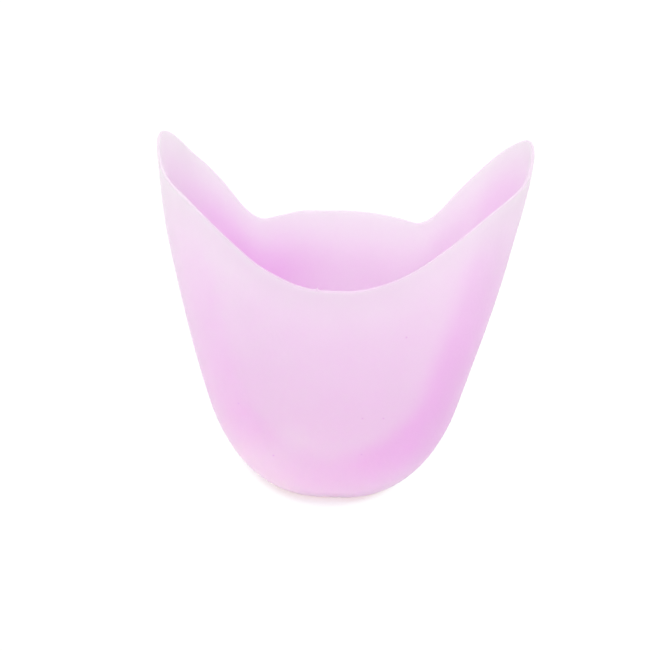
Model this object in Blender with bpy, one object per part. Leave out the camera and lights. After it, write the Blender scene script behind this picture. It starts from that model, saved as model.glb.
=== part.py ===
"""Silicone toe pad: one soft moulded cup that covers the toes.

The pad stands on its closed toe end with its mouth up. +Z is up, X runs across the width and the
front face looks towards -Y. The origin is the centre of the flat that it stands on. Every section
at one height has a flat front and back, joined by half-ellipses at the sides. The flat faces are
narrow at the toe and wide at the mouth, like a shield. The rim is low at the middle of the front,
has a small tongue between two notches at the back, and rises to an ear at each side.
"""

import math

import bmesh
import bpy
from mathutils import Vector

# Toe end, in metres
PLATFORM_WIDTH = 0.022
PLATFORM_DEPTH = 0.016
TOE_WIDTH = 0.0487
TOE_DEPTH = 0.0313
SIDE_ROUNDING_HEIGHT = 0.0240
FACE_ROUNDING_HEIGHT = 0.0135

# Mouth, at the height of the ears
EAR_HEIGHT = 0.0950
MOUTH_WIDTH = 0.0922
MOUTH_DEPTH = 0.0430

# How the walls spread from toe to mouth: 1 is straight, more bends most near the toe
WIDTH_BEND = 1.40
DEPTH_BEND = 1.20

# What the walls follow across the width and from front to back
WIDTH_WALLS = (TOE_WIDTH, MOUTH_WIDTH, WIDTH_BEND)
DEPTH_WALLS = (TOE_DEPTH, MOUTH_DEPTH, DEPTH_BEND)

# How far in from each side the flat faces end and the half-ellipses begin, the largest share of
# half the width that this takes near the toe, and how softly the one gives way to the other
CORNER_REACH = 0.0140
CORNER_SHARE = 0.85
CORNER_SOFTNESS = 0.0040

# Rim: heights, the distance between the two notches and how widely their corners are rounded
FRONT_DIP_HEIGHT = 0.0645
FRONT_SHOULDER_HEIGHT = 0.0905
FRONT_DIP_BEND = 1.40
TONGUE_HEIGHT = 0.0677
NOTCH_HEIGHT = 0.0641
NOTCH_SPACING = 0.0446
NOTCH_SOFTNESS = 0.0080

# Where the rim turns from its front line to its back line, as shares of half the mouth's depth
EAR_TURN_START = -0.80
EAR_TURN_END = 0.30

# Wall
TOE_WALL = 0.0028
SIDE_WALL = 0.0018
RIM_WALL = 0.0011
RIM_TAPER_LENGTH = 0.0140
TOE_TAPER_HEIGHT = 0.0350

# Share of the columns that lie on the flat faces, before they are spaced out evenly
FLAT_SHARE = 0.5

# Fineness of the mesh
POINTS_ROUND = 92
ROWS_UP = 20
ROW_CROWDING = 1.7
BEAD_STEPS = 4
RIM_SAMPLES = 2000

# Milky lilac silicone
SILICONE_COLOR = (0.87, 0.61, 0.87, 1.0)
SILICONE_ROUGHNESS = 0.45


def smooth_step(share):
    """0 to 1 with level ends."""
    share = min(max(share, 0.0), 1.0)
    return share * share * (3.0 - 2.0 * share)


def smooth_max(first, second, softness):
    """The larger of two values, with the corner between them rounded."""
    overlap = max(softness - abs(first - second), 0.0) / softness
    return max(first, second) + overlap * overlap * softness / 4.0


def spread(height, at_toe, at_mouth, bend):
    """Half of the width or depth of the walls, without the rounding of the toe."""
    below_ears = max(1.0 - height / EAR_HEIGHT, 0.0)
    return (at_mouth - (at_mouth - at_toe) * below_ears**bend) / 2.0


def rounding(height, rise, reach):
    """How far the elliptical rounding of the toe draws the wall in."""
    share = min(max(1.0 - height / rise, 0.0), 1.0)
    return reach * (1.0 - math.sqrt(1.0 - share * share))


def corner_reach(half_width, inset):
    """The reach of a corner, which gives way to a share of half the width near the toe."""
    share = CORNER_SHARE * half_width
    return -smooth_max(inset - CORNER_REACH, -share, CORNER_SOFTNESS)


def around(angle):
    """The share of the way across a flat face, and the angle turned round the corner after it."""
    quarter = math.asin(abs(math.sin(angle))) / (math.pi / 2.0)
    flat = min(quarter / FLAT_SHARE, 1.0)
    turn = max(quarter - FLAT_SHARE, 0.0) / (1.0 - FLAT_SHARE) * math.pi / 2.0
    return flat, turn


def drawn_in(height, floor, inset, floor_inset, walls, platform, rise):
    """Half a section's width or depth, inset from the outside and rounded down to a floor."""
    reach = spread(floor, *walls) - floor_inset - platform / 2.0
    return spread(height, *walls) - inset - rounding(height - floor, rise - floor, reach)


def section_point(angle, height, floor=0.0, inset=0.0, floor_inset=0.0):
    """A point on a section, with the angle measured from the middle of the front."""
    place = (height, floor, inset, floor_inset)
    half_width = drawn_in(*place, WIDTH_WALLS, PLATFORM_WIDTH, SIDE_ROUNDING_HEIGHT)
    half_depth = drawn_in(*place, DEPTH_WALLS, PLATFORM_DEPTH, FACE_ROUNDING_HEIGHT)
    flat, turn = around(angle)
    corner = corner_reach(half_width, inset)
    x = (half_width - corner) * flat + corner * math.sin(turn)
    y = half_depth * math.cos(turn)
    return Vector((math.copysign(x, math.sin(angle)), math.copysign(y, -math.cos(angle)), height))


def rim_height(angle):
    """The saddle of the rim: a dip at the front, a tongue and two notches at the back, two ears."""
    mouth_point = section_point(angle, EAR_HEIGHT)
    across = abs(mouth_point.x) / (MOUTH_WIDTH / 2.0)
    backward = mouth_point.y / (MOUTH_DEPTH / 2.0)
    rise = (1.0 - math.cos(math.pi * across**FRONT_DIP_BEND)) / 2.0
    front = FRONT_DIP_HEIGHT + (FRONT_SHOULDER_HEIGHT - FRONT_DIP_HEIGHT) * rise
    notch_flat = NOTCH_SPACING / 2.0 / (spread(NOTCH_HEIGHT, *WIDTH_WALLS) - CORNER_REACH)
    notch = notch_flat * (1.0 - CORNER_REACH / (MOUTH_WIDTH / 2.0))
    tongue = TONGUE_HEIGHT - (TONGUE_HEIGHT - NOTCH_HEIGHT) * (across / notch) ** 2
    flank = NOTCH_HEIGHT + (EAR_HEIGHT - NOTCH_HEIGHT) * (across - notch) / (1.0 - notch)
    back = smooth_max(tongue, flank, NOTCH_SOFTNESS)
    turn = smooth_step((backward - EAR_TURN_START) / (EAR_TURN_END - EAR_TURN_START))
    return front + (back - front) * turn


def even_angles():
    """Angles of the columns, evenly spaced along the rim."""
    samples = [2.0 * math.pi * step / RIM_SAMPLES for step in range(RIM_SAMPLES + 1)]
    points = [section_point(angle, rim_height(angle)) for angle in samples]
    travelled = [0.0]
    for before, after in zip(points, points[1:]):
        travelled.append(travelled[-1] + (after - before).length)
    spacing = travelled[-1] / POINTS_ROUND
    angles = []
    for angle, distance in zip(samples, travelled):
        if distance >= len(angles) * spacing and len(angles) < POINTS_ROUND:
            angles.append(angle)
    return angles


def wall_thickness(height, below_rim):
    """Thickest at the toe, even on the walls and thin at the rim."""
    toe_share = max(1.0 - height / TOE_TAPER_HEIGHT, 0.0) ** 2
    body = SIDE_WALL + (TOE_WALL - SIDE_WALL) * toe_share
    return RIM_WALL + (body - RIM_WALL) * smooth_step(below_rim / RIM_TAPER_LENGTH)


def row_shares():
    """Shares of the height of a column at which its rows lie, crowded towards the toe."""
    return [(row / ROWS_UP) ** ROW_CROWDING for row in range(ROWS_UP + 1)]


def column(angle):
    """One strip of the moulding: up the outside, over the bead of the rim and down the inside."""
    top = rim_height(angle) - RIM_WALL / 2.0
    floor_inset = wall_thickness(TOE_WALL, top - TOE_WALL)
    outside = [section_point(angle, top * share) for share in row_shares()]
    inside = []
    for share in row_shares():
        height = TOE_WALL + (top - TOE_WALL) * share
        inset = wall_thickness(height, top - height)
        inside.append(section_point(angle, height, TOE_WALL, inset, floor_inset))
    return outside, inside


def bead(outer, inner, along):
    """Points of the half-round edge between the last outer and inner points of a column."""
    middle = (outer + inner) / 2.0
    outward = (outer - inner) / 2.0
    upward = outward.cross(along)
    if upward.z < 0.0:
        upward.negate()
    upward = upward.normalized() * outward.length
    turns = [math.pi * step / BEAD_STEPS for step in range(1, BEAD_STEPS)]
    return [middle + outward * math.cos(turn) + upward * math.sin(turn) for turn in turns]


def silicone():
    material = bpy.data.materials.new("silicone")
    material.use_nodes = True
    shader = material.node_tree.nodes["Principled BSDF"]
    shader.inputs["Base Color"].default_value = SILICONE_COLOR
    shader.inputs["Roughness"].default_value = SILICONE_ROUGHNESS
    shader.inputs["Metallic"].default_value = 0.0
    material.diffuse_color = SILICONE_COLOR
    return material


def build_toe_pad():
    columns = [column(angle) for angle in even_angles()]
    mesh = bmesh.new()
    strips = []
    for step, (outside, inside) in enumerate(columns):
        along = columns[(step + 1) % POINTS_ROUND][0][-1] - columns[step - 1][0][-1]
        edge = bead(outside[-1], inside[-1], along)
        strips.append([mesh.verts.new(point) for point in outside + edge + inside[::-1]])

    for step, strip in enumerate(strips):
        beside = strips[(step + 1) % POINTS_ROUND]
        for row in range(len(strip) - 1):
            mesh.faces.new((strip[row], beside[row], beside[row + 1], strip[row + 1]))
    mesh.faces.new([strip[0] for strip in reversed(strips)])
    mesh.faces.new([strip[-1] for strip in strips])

    data = bpy.data.meshes.new("toe_pad")
    mesh.to_mesh(data)
    mesh.free()
    data.shade_smooth()
    data.set_sharp_from_angle(angle=math.radians(50.0))
    data.materials.append(silicone())
    pad = bpy.data.objects.new("toe_pad", data)
    bpy.context.scene.collection.objects.link(pad)
    return pad


for old in list(bpy.data.objects):
    bpy.data.objects.remove(old, do_unlink=True)

build_toe_pad()
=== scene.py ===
import math

import bpy
import numpy as np
from mathutils import Matrix, Vector


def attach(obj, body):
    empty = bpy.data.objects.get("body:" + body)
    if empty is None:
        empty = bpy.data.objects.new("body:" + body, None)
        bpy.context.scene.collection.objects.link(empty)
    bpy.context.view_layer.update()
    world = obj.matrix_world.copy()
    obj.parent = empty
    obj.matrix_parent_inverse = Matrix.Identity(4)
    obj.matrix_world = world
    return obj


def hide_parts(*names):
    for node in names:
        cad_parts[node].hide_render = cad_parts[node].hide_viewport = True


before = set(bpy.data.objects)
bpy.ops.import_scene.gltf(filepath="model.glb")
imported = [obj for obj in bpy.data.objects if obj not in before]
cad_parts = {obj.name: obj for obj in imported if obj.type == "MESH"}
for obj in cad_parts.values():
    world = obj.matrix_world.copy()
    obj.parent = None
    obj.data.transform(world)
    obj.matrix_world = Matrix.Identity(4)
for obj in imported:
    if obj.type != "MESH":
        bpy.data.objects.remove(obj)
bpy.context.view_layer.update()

# Toe end of the pad, in metres
PLATFORM_WIDTH = 0.022
PLATFORM_DEPTH = 0.016
TOE_WIDTH = 0.0487
TOE_DEPTH = 0.0313
SIDE_ROUNDING_HEIGHT = 0.0240
FACE_ROUNDING_HEIGHT = 0.0135

# Mouth, at the height of the ears
EAR_HEIGHT = 0.0950
MOUTH_WIDTH = 0.0922
MOUTH_DEPTH = 0.0430

# How the walls spread from toe to mouth
WIDTH_BEND = 1.40
DEPTH_BEND = 1.20
WIDTH_WALLS = (TOE_WIDTH, MOUTH_WIDTH, WIDTH_BEND)
DEPTH_WALLS = (TOE_DEPTH, MOUTH_DEPTH, DEPTH_BEND)

# How far in from each side the flat faces end and the half-ellipses begin, the largest share of
# half the width that this takes near the toe, and how softly the one gives way to the other
CORNER_REACH = 0.0140
CORNER_SHARE = 0.85
CORNER_SOFTNESS = 0.0040

# Rim
FRONT_DIP_HEIGHT = 0.0645
FRONT_SHOULDER_HEIGHT = 0.0905
FRONT_DIP_BEND = 1.40
TONGUE_HEIGHT = 0.0677
NOTCH_HEIGHT = 0.0641
NOTCH_SPACING = 0.0446
NOTCH_SOFTNESS = 0.0080
EAR_TURN_START = -0.80
EAR_TURN_END = 0.30

# Wall
TOE_WALL = 0.0028
SIDE_WALL = 0.0018
RIM_WALL = 0.0008
RIM_TAPER_LENGTH = 0.0140
TOE_TAPER_HEIGHT = 0.0350

# Share of the columns that lie on the flat faces, before they are spaced out evenly
FLAT_SHARE = 0.5

# The real pad isn't quite even. Rises and dips of the rim: place across, reach and height
FRONT_RIM_WAVES = (
    (-0.0425, 0.0040, -0.00079),
    (-0.0355, 0.0040, -0.00042),
    (-0.0290, 0.0045, -0.00079),
    (-0.0215, 0.0055, -0.00101),
    (-0.0100, 0.0080, -0.00026),
    (0.0020, 0.0080, -0.00026),
    (0.0110, 0.0060, 0.00027),
    (0.0220, 0.0080, -0.00022),
    (0.0350, 0.0050, 0.00070),
    (0.0455, 0.0030, 0.00008),
)
BACK_RIM_WAVES = (
    (-0.0395, 0.0040, -0.00154),
    (-0.0345, 0.0040, -0.00052),
    (-0.0250, 0.0045, -0.00002),
    (-0.0190, 0.0045, -0.00012),
    (-0.0098, 0.0040, 0.00043),
    (0.0020, 0.0080, 0.00014),
    (0.0120, 0.0080, 0.00011),
    (0.0305, 0.0045, 0.00007),
    (0.0390, 0.0050, 0.00043),
    (0.0460, 0.0030, 0.00049),
)

# A nib that the mould left on the front rim, the finer columns across it, how many of its reaches
# they cover to each side, and how many away the other columns stay
NIB_PLACE = -0.0052
NIB_REACH = 0.00028
NIB_HEIGHT = 0.00050
NIB_COLUMNS = 10
NIB_SPAN = 2.0
NIB_CLEARANCE = 2.5

# How the ears lean to +X, and the body below them to -X
LEAN = 0.00055
LEAN_START = 0.070
LEAN_LENGTH = 0.020
SWAY = -0.00025
SWAY_HEIGHT = 0.033
SWAY_REACH = 0.018

# Slow waves of the soft wall: length across, length up, phase and depth
WALL_WAVES = (
    (0.046, 0.071, 0.4, 0.00014),
    (0.031, 0.040, 2.1, 0.00009),
    (0.019, 0.027, 4.4, 0.00005),
)

# Height over which the slow waves set in above the toe's flat
WALL_WAVE_START = 0.012

# The shield-shaped panel of the front: where its foot begins to round off and how far down it goes
PANEL_FOOT_TOP = 0.0358
PANEL_FOOT_REACH = 0.018

# Distance across the middle over which the left side's values pass into the right side's
SIDE_BLEND = 0.024

# Depth of the lilac outside, from 0 for pale to 1 for deep. It is paler higher up, as painted light from
# above, and paler on the left and deeper on the right, as painted light and shade from a light on the left
BODY_TINT = 0.4
PAINTED_LIGHT_FROM_ABOVE = 0.34
PAINTED_LIGHT_FROM_ABOVE_START = 0.0289
PAINTED_LIGHT_FROM_ABOVE_LENGTH = 0.0550
RIGHT_PAINTED_SHADE = 0.083
RIGHT_PAINTED_SHADE_REACH = 0.030

# Painted shade, a deeper lilac round the corners and below the panel where the wall turns away from the
# light, deeper on the right: how far inside the panel's edge it starts, how it rises to a crest and falls
# again, and where it fades out towards the ears
LEFT_CORNER_PAINTED_SHADE = 0.399
RIGHT_CORNER_PAINTED_SHADE = 0.554
CORNER_SHADE_LEAD = 0.0017
CORNER_SHADE_RISE = 0.0065
CORNER_SHADE_CREST = 0.0070
CORNER_SHADE_FALL = 0.384
CORNER_SHADE_TOP = 0.1088
CORNER_SHADE_LENGTH = 0.0521

# A painted highlight: a paler strip inside the right edge of the panel, where the edge catches the light
STRIP_PAINTED_HIGHLIGHT = 0.055
STRIP_INSET = 0.0035
STRIP_REACH = 0.0020

# Paler lilac on the toe and close to the floor, as painted light from the floor below, and a painted
# highlight in a soft spot low on the left
TOE_PAINTED_LIGHT = 0.606
TOE_PAINTED_LIGHT_TOP = 0.020
FOOT_PAINTED_LIGHT = 0.9
FOOT_PAINTED_LIGHT_TOP = 0.0030
PAINTED_HIGHLIGHT_SPOT = 0.42
PAINTED_HIGHLIGHT_PLACE = (-0.0125, 0.0175)
PAINTED_HIGHLIGHT_REACH = (0.0105, 0.0065)

# Paler lilac towards the rim, and painted shade on its bead, which darkens it against the light on its top
RIM_PALENESS = 0.366
INNER_RIM_PALENESS = 0.38
RIM_PALE_REACH = 0.0035
BEAD_PAINTED_SHADE = (0.975, 0.86, 0.975)

# Depth of the lilac inside: paler low down, as painted light in the cup, but deeper there on the left, as
# painted shade on the wall that faces away from the light, and painted shade in the corners
INNER_TINT = 0.35
INNER_LOW_PAINTED_LIGHT = 0.22
INNER_LOW_TOP = 0.083
INNER_LOW_LENGTH = 0.035
INNER_LEFT_PAINTED_SHADE = 0.85
INNER_LEFT_EDGE = 0.0034
INNER_LEFT_LENGTH = 0.024
INNER_LEFT_CORNER_PAINTED_SHADE = 0.078
INNER_RIGHT_CORNER_PAINTED_SHADE = 0.451
INNER_RIGHT_SHIFT = 0.0055
INNER_CORNER_TOP = 0.1176

# How much painted warm light the lilac takes, as from a warm light on the left: on the left, low down and
# inside on the right, on the wall that faces the left. On the left, it starts at a share of the way across
# the flat face
PAINTED_WARM_LIGHT = (1.0, 1.0, 0.97)
WARM_LIGHT_LEFT = 2.2
WARM_LEFT_START = 0.5
WARM_LIGHT_LOW = 0.414
WARM_LOW_TOP = 0.045
WARM_LOW_LENGTH = 0.035
WARM_LIGHT_INSIDE = 0.33
WARM_INSIDE_BLEND = 0.048

# Milky silicone: the pale and the deep lilac outside and inside, two copies of one lilac set apart for the
# painted light and shade of each, the palest that a channel may be, and how far light goes in
OUTER_PALE = (0.9964, 0.7246, 0.9970)
OUTER_DEEP = (0.9706, 0.4902, 0.9514)
INNER_PALE = (0.9945, 0.7070, 0.9918)
INNER_DEEP = (0.9960, 0.4925, 0.9834)
PALEST = 0.996
SCATTER_RADIUS = (1.0, 0.8, 1.0)
SCATTER_SCALE = 0.0117
SURFACE_GLOSS = 0.5

# Faint clouds in the lilac, the range of the satin's roughness, and the grain of the surface
CLOUD_SCALE = 55.0
CLOUD_DETAIL = 3.0
CLOUD_DEPTH = 0.015
SHEEN_SCALE = 130.0
SHEEN_DETAIL = 4.0
ROUGHNESS_LOW = 0.38
ROUGHNESS_HIGH = 0.50
GRAIN_SCALE = 900.0
GRAIN_DETAIL = 5.0
GRAIN_DEPTH = 0.0002
GRAIN_STRENGTH = 0.25

# How rough the noise is, and the range that it usually keeps to
NOISE_ROUGHNESS = 0.55
NOISE_LOW = 0.3
NOISE_HIGH = 0.7

# Specks in the silicone of the front, and their reach and colour
SPECKS = (
    (0.01706, -0.01934, 0.05213),
    (-0.02385, -0.01702, 0.03082),
    (-0.01481, -0.01698, 0.01621),
    (0.00718, -0.01772, 0.02816),
    (0.01242, -0.01770, 0.02835),
    (0.00734, -0.01685, 0.01731),
    (0.02439, -0.01175, 0.01593),
)
SPECK_REACH = 0.00036
SPECK_LILAC = (0.90, 0.45, 0.90, 1.0)

# Fineness of the visual mesh
POINTS_ROUND = 288
ROWS_UP = 96
ROW_CROWDING = 1.6
BEAD_STEPS = 8
RIM_SAMPLES = 6000
DISC_RINGS = 8

# Camera, fitted to the photograph's outline and rim
VIEW_ELEVATION = 27.0
VIEW_DISTANCE = 0.640
VIEW_ROLL = 1.98
VIEW_TARGET = (-0.002845, 0.0, 0.044805)
LENS_MM = 140.0
SENSOR_MM = 36.0

# Soft light: the same from all round, and wide soft boxes with their direction and light
SURROUND_LIGHT = (0.647, 0.604, 0.639)
SOFT_BOXES = (
    ((0.0, 0.0, 1.0), (1.063, 1.031, 1.019)),
    ((-0.6, -0.6, 0.53), (0.309, 0.277, 0.224)),
    ((0.0, -1.0, 0.25), (0.391, 0.397, 0.463)),
    ((0.0, 1.0, 0.25), (0.414, 0.413, 0.459)),
)
SOFT_BOX_FOCUS = 5.0

# Lamps: name, place, aim, size, watts, colour and how wide the beam is in degrees
WHITE_LIGHT = (1.0, 1.0, 1.0)
TOE_LIGHT = (1.0, 0.65, 0.40)
LAMPS = (
    ("key", (-0.55, -0.55, 0.75), (0.0, 0.0, 0.04), 0.5, 0.318, WHITE_LIGHT, 180.0),
    ("low_fill", (0.0, -0.45, 0.05), (0.0, 0.0, 0.005), 0.25, 0.058, WHITE_LIGHT, 180.0),
    ("toe_fill", (-0.22, -0.36, 0.015), (-0.014, -0.012, 0.006), 0.03, 0.0006, TOE_LIGHT, 10.0),
)

# The floor: what it gives back as light, and what is seen of it in the shadow and in the open, as
# a surface and as its own glow
FLOOR_SIZE = 6.0
FLOOR_ROUGHNESS = 0.9
FLOOR_BOUNCE = (0.92, 0.92, 0.92, 1.0)
SHADOW_SURFACE = (0.22, 0.50, 0.45, 1.0)
SHADOW_GLOW = (0.75, 0.50, 0.54, 1.0)
OPEN_SURFACE = (0.04, 0.04, 0.04, 1.0)
WHITE = (1.0, 1.0, 1.0, 1.0)

# The ellipse on the floor in which the shadow is seen, and where its fading begins and ends
SHADOW_CENTRE = (-0.0011, 0.0330, 0.0)
SHADOW_REACH = (0.0265, 0.0468, 1.0)
SHADOW_FADE_START = 0.95
SHADOW_FADE_END = 1.04


def smooth_step(share):
    share = np.clip(share, 0.0, 1.0)
    return share * share * (3.0 - 2.0 * share)


def smooth_max(first, second, softness):
    overlap = np.maximum(softness - np.abs(first - second), 0.0) / softness
    return np.maximum(first, second) + overlap * overlap * softness / 4.0


def spread(height, at_toe, at_mouth, bend):
    below_ears = np.maximum(1.0 - height / EAR_HEIGHT, 0.0)
    return (at_mouth - (at_mouth - at_toe) * below_ears**bend) / 2.0


def rounding(height, rise, reach):
    share = np.clip(1.0 - height / rise, 0.0, 1.0)
    return reach * (1.0 - np.sqrt(1.0 - share * share))


def corner_reach(half_width, inset):
    """The reach of a corner, which gives way to a share of half the width near the toe."""
    share = CORNER_SHARE * half_width
    return -smooth_max(inset - CORNER_REACH, -share, CORNER_SOFTNESS)


def around(angle):
    """The share of the way across a flat face, and the angle turned round the corner after it."""
    quarter = np.arcsin(np.clip(np.abs(np.sin(angle)), 0.0, 1.0)) / (math.pi / 2.0)
    flat = np.minimum(quarter / FLAT_SHARE, 1.0)
    turn = np.maximum(quarter - FLAT_SHARE, 0.0) / (1.0 - FLAT_SHARE) * math.pi / 2.0
    return flat, turn


def drawn_in(height, floor, inset, floor_inset, walls, platform, rise):
    """Half a section's width or depth, inset from the outside and rounded down to a floor."""
    reach = spread(floor, *walls) - floor_inset - platform / 2.0
    return spread(height, *walls) - inset - rounding(height - floor, rise - floor, reach)


def section_points(angle, height, floor=0.0, inset=0.0, floor_inset=0.0):
    """Points on sections, with the angle measured from the middle of the front."""
    place = (height, floor, inset, floor_inset)
    half_width = drawn_in(*place, WIDTH_WALLS, PLATFORM_WIDTH, SIDE_ROUNDING_HEIGHT)
    half_depth = drawn_in(*place, DEPTH_WALLS, PLATFORM_DEPTH, FACE_ROUNDING_HEIGHT)
    flat, turn = around(angle)
    corner = corner_reach(half_width, inset)
    x = np.copysign((half_width - corner) * flat + corner * np.sin(turn), np.sin(angle))
    y = np.copysign(half_depth * np.cos(turn), -np.cos(angle))
    return np.stack(np.broadcast_arrays(x, y, height), axis=-1)


def waves_at(place, waves):
    return sum(height * np.exp(-(((place - middle) / reach) ** 2)) for middle, reach, height in waves)


def rim_height(angle):
    """The saddle of the rim: a dip at the front, a tongue and two notches at the back, two ears."""
    mouth_points = section_points(angle, EAR_HEIGHT)
    across = np.abs(mouth_points[..., 0]) / (MOUTH_WIDTH / 2.0)
    backward = mouth_points[..., 1] / (MOUTH_DEPTH / 2.0)
    rise = (1.0 - np.cos(math.pi * across**FRONT_DIP_BEND)) / 2.0
    front = FRONT_DIP_HEIGHT + (FRONT_SHOULDER_HEIGHT - FRONT_DIP_HEIGHT) * rise
    notch_flat = NOTCH_SPACING / 2.0 / (spread(NOTCH_HEIGHT, *WIDTH_WALLS) - CORNER_REACH)
    notch = notch_flat * (1.0 - CORNER_REACH / (MOUTH_WIDTH / 2.0))
    tongue = TONGUE_HEIGHT - (TONGUE_HEIGHT - NOTCH_HEIGHT) * (across / notch) ** 2
    flank = NOTCH_HEIGHT + (EAR_HEIGHT - NOTCH_HEIGHT) * (across - notch) / (1.0 - notch)
    back = smooth_max(tongue, flank, NOTCH_SOFTNESS)
    turn = smooth_step((backward - EAR_TURN_START) / (EAR_TURN_END - EAR_TURN_START))
    even = front + (back - front) * turn
    place = section_points(angle, even)[..., 0]
    front_waves = waves_at(place, FRONT_RIM_WAVES)
    back_waves = waves_at(place, BACK_RIM_WAVES)
    return even + front_waves + (back_waves - front_waves) * turn


def even_angles():
    samples = np.linspace(0.0, 2.0 * math.pi, RIM_SAMPLES + 1)
    points = section_points(samples, rim_height(samples))
    travelled = np.concatenate([[0.0], np.cumsum(np.linalg.norm(np.diff(points, axis=0), axis=1))])
    stops = np.arange(POINTS_ROUND) * travelled[-1] / POINTS_ROUND
    front = samples > 1.5 * math.pi
    nib = np.interp(NIB_PLACE, points[front, 0], travelled[front])
    around_nib = nib + np.linspace(-NIB_SPAN, NIB_SPAN, NIB_COLUMNS) * NIB_REACH
    clear = np.abs(stops - nib) > NIB_CLEARANCE * NIB_REACH
    return np.interp(np.sort(np.concatenate([stops[clear], around_nib])), travelled, samples)


def wall_thickness(height, below_rim):
    toe_share = np.maximum(1.0 - height / TOE_TAPER_HEIGHT, 0.0) ** 2
    body = SIDE_WALL + (TOE_WALL - SIDE_WALL) * toe_share
    return RIM_WALL + (body - RIM_WALL) * smooth_step(below_rim / RIM_TAPER_LENGTH)


def beyond_panel(x, height):
    """How far a point lies outside the panel of the front, across or below its rounded foot."""
    half_flat = spread(height, *WIDTH_WALLS) - CORNER_REACH
    below_foot = np.maximum(PANEL_FOOT_TOP - height, 0.0) / PANEL_FOOT_REACH
    return (np.hypot(x / half_flat, below_foot) - 1.0) * half_flat


def right_share(x, blend=SIDE_BLEND):
    """0 on the left and 1 on the right, with a smooth change across the middle."""
    return smooth_step(x / blend + 0.5)


def corner_painted_shade(x, height, left_shade, right_shade, top, right_shift=0.0):
    """The painted shade, a deeper lilac, round the corners and under the panel."""
    beyond = beyond_panel(x, height) - right_shift * right_share(x)
    ridge = smooth_step((beyond + CORNER_SHADE_LEAD) / CORNER_SHADE_RISE)
    crest = 1.0 - CORNER_SHADE_FALL * smooth_step((beyond - CORNER_SHADE_CREST) / CORNER_SHADE_CREST)
    low = smooth_step((top - height) / CORNER_SHADE_LENGTH)
    side = left_shade + (right_shade - left_shade) * right_share(x)
    return ridge * crest * low * side


def outer_depth(x, height, below_rim):
    # Paler higher up: painted light from above
    high = smooth_step((height - PAINTED_LIGHT_FROM_ABOVE_START) / PAINTED_LIGHT_FROM_ABOVE_LENGTH)
    # Paler on the left and deeper on the right: painted light and shade from a light on the left
    right_side_shade = RIGHT_PAINTED_SHADE * np.clip(x / RIGHT_PAINTED_SHADE_REACH, -1.0, 1.0)
    # Painted shade round the corners and under the panel
    corner = corner_painted_shade(x, height, LEFT_CORNER_PAINTED_SHADE, RIGHT_CORNER_PAINTED_SHADE, CORNER_SHADE_TOP)
    # A painted highlight in a strip inside the right edge of the panel
    inset = (beyond_panel(x, height) + STRIP_INSET) / STRIP_REACH
    strip_highlight = STRIP_PAINTED_HIGHLIGHT * np.exp(-(inset**2)) * smooth_step(x / SIDE_BLEND)
    # Paler on the toe and at its foot: painted light from the floor below
    toe = TOE_PAINTED_LIGHT * smooth_step((TOE_PAINTED_LIGHT_TOP - height) / TOE_PAINTED_LIGHT_TOP)
    foot = FOOT_PAINTED_LIGHT * smooth_step((FOOT_PAINTED_LIGHT_TOP - height) / FOOT_PAINTED_LIGHT_TOP)
    # A painted highlight in a soft spot low on the left
    across = (x - PAINTED_HIGHLIGHT_PLACE[0]) / PAINTED_HIGHLIGHT_REACH[0]
    up = (height - PAINTED_HIGHLIGHT_PLACE[1]) / PAINTED_HIGHLIGHT_REACH[1]
    highlight_spot = PAINTED_HIGHLIGHT_SPOT * np.exp(-(across**2) - up**2)
    rim = RIM_PALENESS * np.exp(-below_rim / RIM_PALE_REACH)
    return BODY_TINT + right_side_shade + corner - PAINTED_LIGHT_FROM_ABOVE * high - strip_highlight - toe - foot - highlight_spot - rim


def inner_depth(x, height, below_rim):
    # Paler low down as painted light in the cup, deeper there on the left as painted shade
    low = smooth_step((INNER_LOW_TOP - height) / INNER_LOW_LENGTH)
    left = smooth_step((INNER_LEFT_EDGE - x) / INNER_LEFT_LENGTH)
    # Painted shade in the inside corners
    corner_shades = (INNER_LEFT_CORNER_PAINTED_SHADE, INNER_RIGHT_CORNER_PAINTED_SHADE, INNER_CORNER_TOP, INNER_RIGHT_SHIFT)
    corner = corner_painted_shade(x, height, *corner_shades)
    body = INNER_TINT + (INNER_LEFT_PAINTED_SHADE * left - INNER_LOW_PAINTED_LIGHT) * low
    return body + corner - INNER_RIM_PALENESS * np.exp(-below_rim / RIM_PALE_REACH)


def paint(pale, deep, depth, warm_light):
    """The colour at each point, from the depth of the lilac and the painted warm light on it."""
    colour = np.array(pale) + (np.array(deep) - np.array(pale)) * depth[..., None]
    # The painted warm light
    colour = colour * (1.0 + (np.array(PAINTED_WARM_LIGHT) - 1.0) * warm_light[..., None])
    return np.clip(colour, 0.0, PALEST)


def outer_paint(points, below_rim):
    x, height = points[..., 0], points[..., 2]
    half_flat = spread(height, *WIDTH_WALLS) - CORNER_REACH
    # Painted warm light on the left side and low down
    left = smooth_step(-x / half_flat - WARM_LEFT_START)
    low = smooth_step((WARM_LOW_TOP - height) / WARM_LOW_LENGTH)
    warm_light = WARM_LIGHT_LEFT * left + WARM_LIGHT_LOW * low
    return paint(OUTER_PALE, OUTER_DEEP, outer_depth(x, height, below_rim), warm_light)


def inner_paint(points, below_rim):
    x, height = points[..., 0], points[..., 2]
    # Painted warm light on the inside wall on the right, which faces the left
    warm_light = WARM_LIGHT_INSIDE * right_share(x, WARM_INSIDE_BLEND)
    return paint(INNER_PALE, INNER_DEEP, inner_depth(x, height, below_rim), warm_light)


def uneven(points):
    """The lean of the ears, the sway of the body below them and slow waves in the soft wall."""
    x, height = points[..., 0], points[..., 2]
    moved = points.copy()
    lean = LEAN * smooth_step((height - LEAN_START) / LEAN_LENGTH)
    moved[..., 0] += lean + SWAY * np.exp(-(((height - SWAY_HEIGHT) / SWAY_REACH) ** 2))
    for across, up, phase, depth in WALL_WAVES:
        wave = np.sin(2.0 * math.pi * x / across + phase) * np.cos(2.0 * math.pi * height / up - phase)
        moved[..., 1] += depth * wave * smooth_step(height / WALL_WAVE_START)
    return moved


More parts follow.
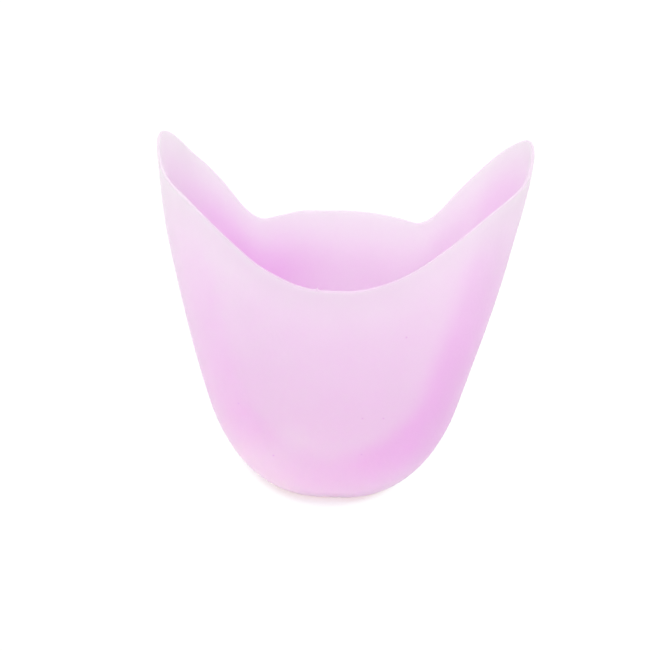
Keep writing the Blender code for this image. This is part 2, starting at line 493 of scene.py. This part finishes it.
def pad_strips():
    """Strips of points and colours, one per angle: up the outside, over the bead, down the inside."""
    angle = even_angles()[:, None]
    share = (np.arange(ROWS_UP + 1) / ROWS_UP)[None, :] ** ROW_CROWDING
    top = rim_height(angle) - RIM_WALL / 2.0
    outside_height = top * share
    outside = section_points(angle, outside_height)
    height = TOE_WALL + (top - TOE_WALL) * share
    inset = wall_thickness(height, top - height)
    floor_inset = wall_thickness(TOE_WALL, top - TOE_WALL)
    inside = section_points(angle, height, TOE_WALL, inset, floor_inset)

    outer = outside[:, -1]
    inner = inside[:, -1]
    along = np.roll(outer, -1, axis=0) - np.roll(outer, 1, axis=0)
    outward = (outer - inner) / 2.0
    upward = np.cross(outward, along)
    upward *= np.sign(upward[:, 2:])
    upward *= np.linalg.norm(outward, axis=1, keepdims=True) / np.linalg.norm(upward, axis=1, keepdims=True)
    turn = (math.pi * np.arange(1, BEAD_STEPS) / BEAD_STEPS)[None, :, None]
    bead = ((outer + inner) / 2.0)[:, None] + outward[:, None] * np.cos(turn) + upward[:, None] * np.sin(turn)
    nib = NIB_HEIGHT * np.exp(-(((outer[:, 0] - NIB_PLACE) / NIB_REACH) ** 2)) * (outer[:, 1] < 0.0)
    bead[..., 2] += nib[:, None] * np.sin(turn[..., 0])

    outside_colour = outer_paint(outside, top - outside_height)
    inside_colour = inner_paint(inside, top - height)
    over = (np.arange(1, BEAD_STEPS) / BEAD_STEPS)[None, :, None]
    bead_colour = outside_colour[:, -1:] * (1.0 - over) + inside_colour[:, -1:] * over
    points = np.concatenate([outside, bead, inside[:, ::-1]], axis=1)
    # The bead's colour is darkened as painted shade
    colours = np.concatenate([outside_colour, bead_colour * BEAD_PAINTED_SHADE, inside_colour[:, ::-1]], axis=1)
    return uneven(points), colours


def pad_mesh():
    strips, colours = pad_strips()
    count, rows, _ = strips.shape
    vertices = [strips.reshape(-1, 3)]
    painted = [colours.reshape(-1, 3)]
    used = count * rows
    faces = []
    steps = np.arange(count)
    beside = (steps + 1) % count
    for row in range(rows - 1):
        low = steps * rows + row
        next_low = beside * rows + row
        faces.extend(np.stack([low, next_low, next_low + 1, low + 1], axis=1).tolist())
    for row, facing in ((0, -1), (rows - 1, 1)):
        edge = strips[:, row]
        middle = edge.mean(axis=0)
        ring = steps * rows + row
        for disc in range(1, DISC_RINGS):
            share = 1.0 - disc / DISC_RINGS
            vertices.append(middle + (edge - middle) * share)
            painted.append(colours[:, row])
            inner_ring = used + steps
            used += count
            quads = np.stack([ring, ring[beside], inner_ring[beside], inner_ring], axis=1)
            faces.extend(quads[:, ::facing].tolist())
            ring = inner_ring
        vertices.append(middle[None])
        painted.append(colours[:, row].mean(axis=0)[None])
        fan = np.stack([ring, ring[beside], np.full(count, used)], axis=1)
        faces.extend(fan[:, ::facing].tolist())
        used += 1
    data = bpy.data.meshes.new("toe_pad_skin")
    data.from_pydata(np.concatenate(vertices).tolist(), [], faces)
    data.update()
    data.shade_smooth()
    colour = np.concatenate(painted)
    # The painted colour: the lilac with its painted light, shade and highlights
    layer = data.attributes.new("lilac_with_painted_light", "FLOAT_COLOR", "POINT")
    layer.data.foreach_set("color", np.insert(colour, 3, 1.0, axis=1).astype(np.float32).reshape(-1))
    return data


def noise(tree, coordinates, scale, detail):
    texture = tree.nodes.new("ShaderNodeTexNoise")
    texture.inputs["Scale"].default_value = scale
    texture.inputs["Detail"].default_value = detail
    texture.inputs["Roughness"].default_value = NOISE_ROUGHNESS
    tree.links.new(coordinates, texture.inputs["Vector"])
    return texture.outputs["Fac"]


def remapped(tree, value, low, high):
    """Brings noise from its usual range to another."""
    change = tree.nodes.new("ShaderNodeMapRange")
    change.inputs["From Min"].default_value = NOISE_LOW
    change.inputs["From Max"].default_value = NOISE_HIGH
    change.inputs["To Min"].default_value = low
    change.inputs["To Max"].default_value = high
    tree.links.new(value, change.inputs["Value"])
    return change.outputs["Result"]


def calculated(tree, operation, first, second):
    node = tree.nodes.new("ShaderNodeMath")
    node.operation = operation
    for socket, value in zip(node.inputs, (first, second)):
        if isinstance(value, float):
            socket.default_value = value
        else:
            tree.links.new(value, socket)
    return node.outputs[0]


def mixed(tree, factor, first, second):
    """A colour between two others, each given as a colour or as another node's output."""
    mix = tree.nodes.new("ShaderNodeMix")
    mix.data_type = "RGBA"
    tree.links.new(factor, mix.inputs["Factor"])
    for socket, colour in ((mix.inputs["A"], first), (mix.inputs["B"], second)):
        if isinstance(colour, tuple):
            socket.default_value = colour
        else:
            tree.links.new(colour, socket)
    return mix.outputs["Result"]


def specks(tree, coordinates):
    """1 at the middle of a speck and 0 beyond its reach."""
    total = 0.0
    for place in SPECKS:
        away = tree.nodes.new("ShaderNodeVectorMath")
        away.operation = "DISTANCE"
        away.inputs[1].default_value = place
        tree.links.new(coordinates, away.inputs[0])
        share = calculated(tree, "DIVIDE", away.outputs["Value"], SPECK_REACH)
        near = calculated(tree, "MAXIMUM", calculated(tree, "SUBTRACT", 1.0, share), 0.0)
        total = calculated(tree, "ADD", near, total)
    return total


def silicone():
    material = bpy.data.materials.new("milky_silicone")
    material.use_nodes = True
    tree = material.node_tree
    shader = tree.nodes["Principled BSDF"]
    coordinates = tree.nodes.new("ShaderNodeTexCoord").outputs["Object"]
    # The lilac with its painted light, shade and highlights
    lilac_with_painted_light = tree.nodes.new("ShaderNodeAttribute")
    lilac_with_painted_light.attribute_name = "lilac_with_painted_light"
    clouds = noise(tree, coordinates, CLOUD_SCALE, CLOUD_DETAIL)
    hue = tree.nodes.new("ShaderNodeCombineColor")
    tree.links.new(remapped(tree, clouds, -CLOUD_DEPTH, CLOUD_DEPTH), hue.inputs["Green"])
    clouded = tree.nodes.new("ShaderNodeMix")
    clouded.data_type = "RGBA"
    clouded.blend_type = "ADD"
    clouded.inputs["Factor"].default_value = 1.0
    tree.links.new(lilac_with_painted_light.outputs["Color"], clouded.inputs["A"])
    tree.links.new(hue.outputs["Color"], clouded.inputs["B"])
    specked = mixed(tree, specks(tree, coordinates), clouded.outputs["Result"], SPECK_LILAC)
    tree.links.new(specked, shader.inputs["Base Color"])
    sheen = noise(tree, coordinates, SHEEN_SCALE, SHEEN_DETAIL)
    roughness = remapped(tree, sheen, ROUGHNESS_LOW, ROUGHNESS_HIGH)
    tree.links.new(roughness, shader.inputs["Roughness"])
    bump = tree.nodes.new("ShaderNodeBump")
    bump.inputs["Strength"].default_value = GRAIN_STRENGTH
    bump.inputs["Distance"].default_value = GRAIN_DEPTH
    grain = noise(tree, coordinates, GRAIN_SCALE, GRAIN_DETAIL)
    tree.links.new(grain, bump.inputs["Height"])
    tree.links.new(bump.outputs["Normal"], shader.inputs["Normal"])
    shader.inputs["Specular IOR Level"].default_value = SURFACE_GLOSS
    shader.inputs["Subsurface Weight"].default_value = 1.0
    shader.inputs["Subsurface Radius"].default_value = SCATTER_RADIUS
    shader.inputs["Subsurface Scale"].default_value = SCATTER_SCALE
    return material


def build_pad():
    pad = bpy.data.objects.new("silicone_toe_pad", pad_mesh())
    bpy.context.scene.collection.objects.link(pad)
    pad.data.materials.append(silicone())
    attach(pad, "root")
    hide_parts("toe_pad")


def seen_directly(tree):
    """1 where the camera, gloss or glass looks at it, and 0 for the light that it gives."""
    path = tree.nodes.new("ShaderNodeLightPath")
    seen = tree.nodes.new("ShaderNodeMath")
    seen.operation = "MAXIMUM"
    tree.links.new(path.outputs["Is Camera Ray"], seen.inputs[0])
    tree.links.new(path.outputs["Is Glossy Ray"], seen.inputs[1])
    both = tree.nodes.new("ShaderNodeMath")
    both.operation = "MAXIMUM"
    tree.links.new(seen.outputs[0], both.inputs[0])
    tree.links.new(path.outputs["Is Transmission Ray"], both.inputs[1])
    return both.outputs[0]


def beyond_shadow(tree):
    """0 where the shadow lies and 1 on the open floor."""
    placed = tree.nodes.new("ShaderNodeMapping")
    placed.vector_type = "TEXTURE"
    placed.inputs["Location"].default_value = SHADOW_CENTRE
    placed.inputs["Scale"].default_value = SHADOW_REACH
    tree.links.new(tree.nodes.new("ShaderNodeTexCoord").outputs["Object"], placed.inputs["Vector"])
    away = tree.nodes.new("ShaderNodeVectorMath")
    away.operation = "LENGTH"
    tree.links.new(placed.outputs["Vector"], away.inputs[0])
    faded = tree.nodes.new("ShaderNodeMapRange")
    faded.interpolation_type = "SMOOTHSTEP"
    faded.inputs["From Min"].default_value = SHADOW_FADE_START
    faded.inputs["From Max"].default_value = SHADOW_FADE_END
    tree.links.new(away.outputs["Value"], faded.inputs["Value"])
    return faded.outputs["Result"]


def build_floor():
    bpy.ops.mesh.primitive_plane_add(size=FLOOR_SIZE, location=(0.0, 0.0, 0.0))
    floor = bpy.context.object
    floor.name = "floor"
    material = bpy.data.materials.new("floor_white")
    material.use_nodes = True
    tree = material.node_tree
    shader = tree.nodes["Principled BSDF"]
    seen = seen_directly(tree)
    beyond = beyond_shadow(tree)
    surface = mixed(tree, seen, FLOOR_BOUNCE, mixed(tree, beyond, SHADOW_SURFACE, OPEN_SURFACE))
    tree.links.new(surface, shader.inputs["Base Color"])
    glow = mixed(tree, beyond, SHADOW_GLOW, WHITE)
    tree.links.new(glow, shader.inputs["Emission Color"])
    shader.inputs["Roughness"].default_value = FLOOR_ROUGHNESS
    shader.inputs["Specular IOR Level"].default_value = 0.0
    tree.links.new(seen, shader.inputs["Emission Strength"])
    floor.data.materials.append(material)


def soft_box(tree, direction, towards, light):
    """Light from one side of the sky that falls off smoothly around its direction."""
    facing = tree.nodes.new("ShaderNodeVectorMath")
    facing.operation = "DOT_PRODUCT"
    facing.inputs[1].default_value = Vector(towards).normalized()
    tree.links.new(direction, facing.inputs[0])
    ahead = calculated(tree, "MAXIMUM", facing.outputs["Value"], 0.0)
    falloff = calculated(tree, "POWER", ahead, SOFT_BOX_FOCUS)
    box = tree.nodes.new("ShaderNodeBackground")
    box.inputs["Color"].default_value = (*light, 1.0)
    tree.links.new(falloff, box.inputs["Strength"])
    return box.outputs["Background"]


def build_world():
    """A soft studio, white where the camera, gloss or glass looks straight at it."""
    world = bpy.data.worlds.new("studio")
    bpy.context.scene.world = world
    world.use_nodes = True
    tree = world.node_tree
    for node in list(tree.nodes):
        tree.nodes.remove(node)
    out = tree.nodes.new("ShaderNodeOutputWorld")
    direction = tree.nodes.new("ShaderNodeTexCoord").outputs["Generated"]
    surround = tree.nodes.new("ShaderNodeBackground")
    surround.inputs["Color"].default_value = (*SURROUND_LIGHT, 1.0)
    light = surround.outputs["Background"]
    for towards, box_light in SOFT_BOXES:
        both = tree.nodes.new("ShaderNodeAddShader")
        tree.links.new(light, both.inputs[0])
        tree.links.new(soft_box(tree, direction, towards, box_light), both.inputs[1])
        light = both.outputs["Shader"]
    white = tree.nodes.new("ShaderNodeBackground")
    white.inputs["Color"].default_value = WHITE
    mix = tree.nodes.new("ShaderNodeMixShader")
    tree.links.new(seen_directly(tree), mix.inputs[0])
    tree.links.new(light, mix.inputs[1])
    tree.links.new(white.outputs["Background"], mix.inputs[2])
    tree.links.new(mix.outputs[0], out.inputs["Surface"])


def area_light(name, place, aim, size, watts, colour, beam):
    data = bpy.data.lights.new(name, "AREA")
    data.shape = "DISK"
    data.size = size
    data.energy = watts
    data.color = colour
    data.spread = math.radians(beam)
    light = bpy.data.objects.new(name, data)
    bpy.context.scene.collection.objects.link(light)
    light.location = place
    light.rotation_euler = (Vector(aim) - Vector(place)).to_track_quat("-Z", "Y").to_euler()


def build_camera():
    data = bpy.data.cameras.new("view")
    data.lens = LENS_MM
    data.sensor_width = SENSOR_MM
    camera = bpy.data.objects.new("view", data)
    bpy.context.scene.collection.objects.link(camera)
    elevation = math.radians(VIEW_ELEVATION)
    back = Vector((0.0, -math.cos(elevation), math.sin(elevation)))
    camera.location = Vector(VIEW_TARGET) + back * VIEW_DISTANCE
    aim = (-back).to_track_quat("-Z", "Y").to_matrix().to_4x4()
    roll = Matrix.Rotation(math.radians(VIEW_ROLL), 4, "Z")
    camera.rotation_euler = (aim @ roll).to_euler()
    bpy.context.scene.camera = camera


build_pad()
build_floor()
build_world()
for lamp in LAMPS:
    area_light(*lamp)
build_camera()
bpy.context.scene.view_settings.view_transform = "Standard"
